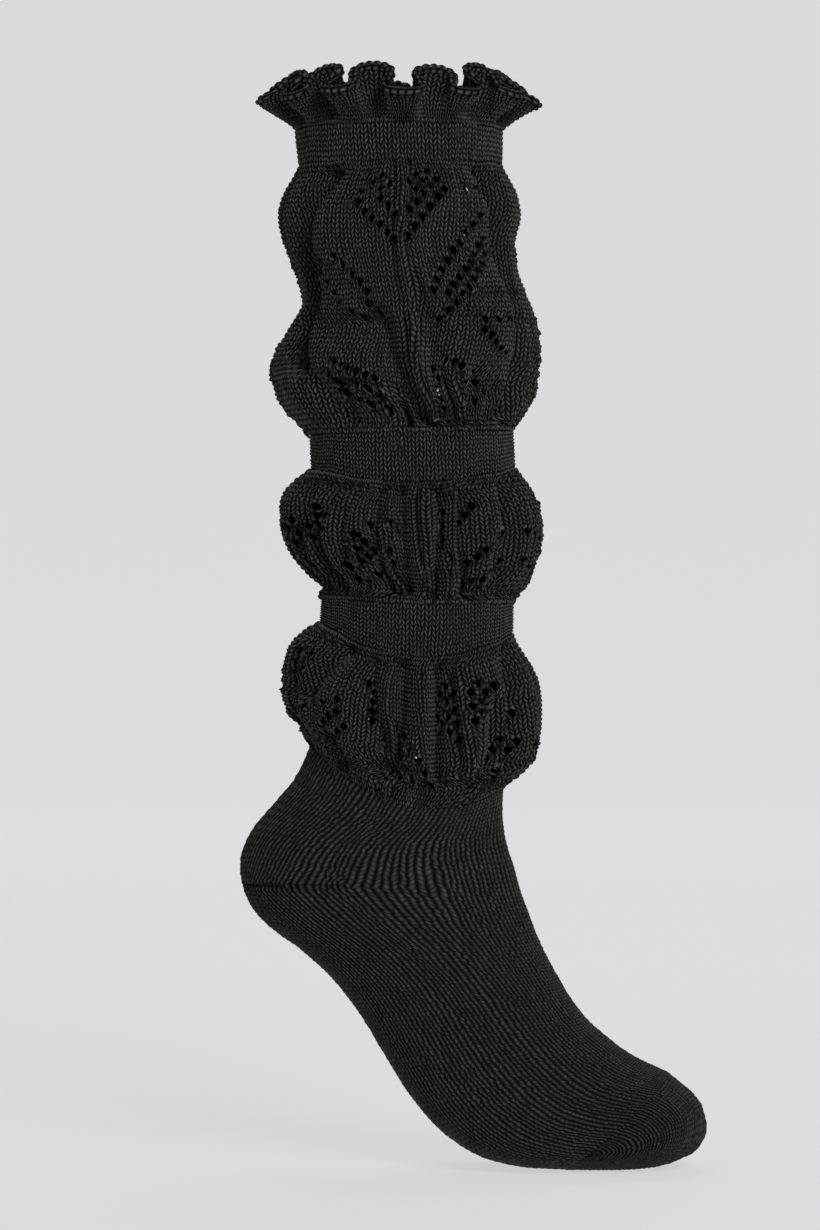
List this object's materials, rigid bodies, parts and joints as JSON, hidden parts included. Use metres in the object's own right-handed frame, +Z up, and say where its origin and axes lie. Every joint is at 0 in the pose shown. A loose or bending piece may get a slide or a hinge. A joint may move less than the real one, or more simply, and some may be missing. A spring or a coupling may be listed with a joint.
{
  "type": "lace knit knee sock",
  "caption": "Knee-high lace knit sock filled out on tiptoe, with a fluted ruffle, full lace puffs drawn in by plain bands, a short-row heel and a seamed toe.",
  "frame": {"origin": "middle of the plain cuff band, on the axis of the leg that wears the sock", "axes": "+Z up the leg, +X towards the toes, -Y towards the outer side of the leg that the picture shows"},
  "size_m": [0.1994, 0.1118, 0.4708],
  "materials": {
    "charcoal_yarn": "matt wool and cotton yarn, knitted"
  },
  "bodies": {
    "root": {"ruffle": "charcoal_yarn", "cuff_band": "charcoal_yarn", "upper_puff_top": "charcoal_yarn", "upper_puff_waist": "charcoal_yarn", "upper_puff_base": "charcoal_yarn", "middle_band": "charcoal_yarn", "middle_puff_top": "charcoal_yarn", "middle_puff_base": "charcoal_yarn", "lower_band": "charcoal_yarn", "lower_puff_top": "charcoal_yarn", "lower_puff_base": "charcoal_yarn", "ankle": "charcoal_yarn", "heel": "charcoal_yarn", "arch": "charcoal_yarn", "ball": "charcoal_yarn", "toe_cap": "charcoal_yarn"}
  },
  "joints": []
}
